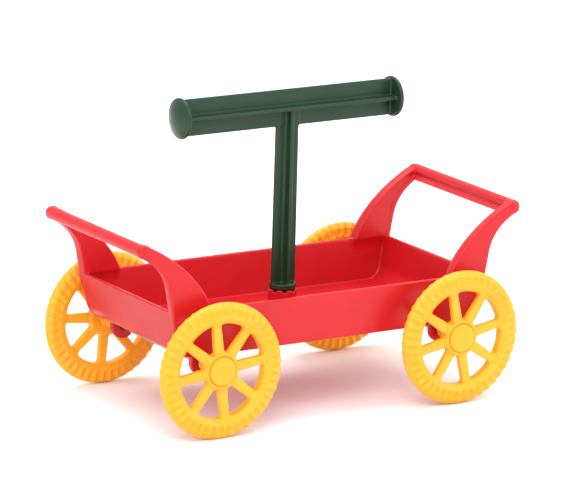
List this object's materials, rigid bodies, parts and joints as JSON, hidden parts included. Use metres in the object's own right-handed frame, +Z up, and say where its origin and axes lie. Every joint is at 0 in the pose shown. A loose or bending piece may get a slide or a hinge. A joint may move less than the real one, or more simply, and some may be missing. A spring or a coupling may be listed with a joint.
{
  "type": "toy carry wagon",
  "caption": "Open toy wagon tray with curved end uprights and grab bars, a central T-shaped carry handle and spoked lugged wheels that spin on rod axles.",
  "frame": {"origin": "on the ground under the middle of the four wheels, the bottom centre of the bounding box", "axes": "+X along the wagon towards the front wheels, +Y to the wagon's left side, +Z up along the handle post"},
  "size_m": [0.3022, 0.1634, 0.2139],
  "materials": {
    "red_plastic": "satin moulded",
    "green_plastic": "satin moulded",
    "yellow_plastic": "satin moulded",
    "steel": "bright zinc plated"
  },
  "bodies": {
    "wagon_body": {"tray_body": "red_plastic", "carry_handle": "green_plastic", "handle_lock_washer": "steel", "handle_lock_screw": "steel", "axle_front": "steel", "axle_rear": "steel", "axle_spacer_front_left": "steel", "axle_spacer_front_right": "steel", "axle_spacer_rear_left": "steel", "axle_spacer_rear_right": "steel", "push_nut_front_left": "steel", "push_nut_front_right": "steel", "push_nut_rear_left": "steel", "push_nut_rear_right": "steel"},
    "road_wheel_front_left": {"wheel_front_left": "yellow_plastic", "hub_cap_front_left": "yellow_plastic"},
    "road_wheel_front_right": {"wheel_front_right": "yellow_plastic", "hub_cap_front_right": "yellow_plastic"},
    "road_wheel_rear_left": {"wheel_rear_left": "yellow_plastic", "hub_cap_rear_left": "yellow_plastic"},
    "road_wheel_rear_right": {"wheel_rear_right": "yellow_plastic", "hub_cap_rear_right": "yellow_plastic"}
  },
  "joints": [
    {"name": "spin_front_left", "type": "hinge", "parent": "wagon_body", "child": "road_wheel_front_left", "pos_m": [0.095, 0.0765, 0.0465], "axis": [0, 1, 0], "continuous": true},
    {"name": "spin_front_right", "type": "hinge", "parent": "wagon_body", "child": "road_wheel_front_right", "pos_m": [0.095, -0.0765, 0.0465], "axis": [0, 1, 0], "continuous": true},
    {"name": "spin_rear_left", "type": "hinge", "parent": "wagon_body", "child": "road_wheel_rear_left", "pos_m": [-0.095, 0.0765, 0.0465], "axis": [0, 1, 0], "continuous": true},
    {"name": "spin_rear_right", "type": "hinge", "parent": "wagon_body", "child": "road_wheel_rear_right", "pos_m": [-0.095, -0.0765, 0.0465], "axis": [0, 1, 0], "continuous": true}
  ]
}
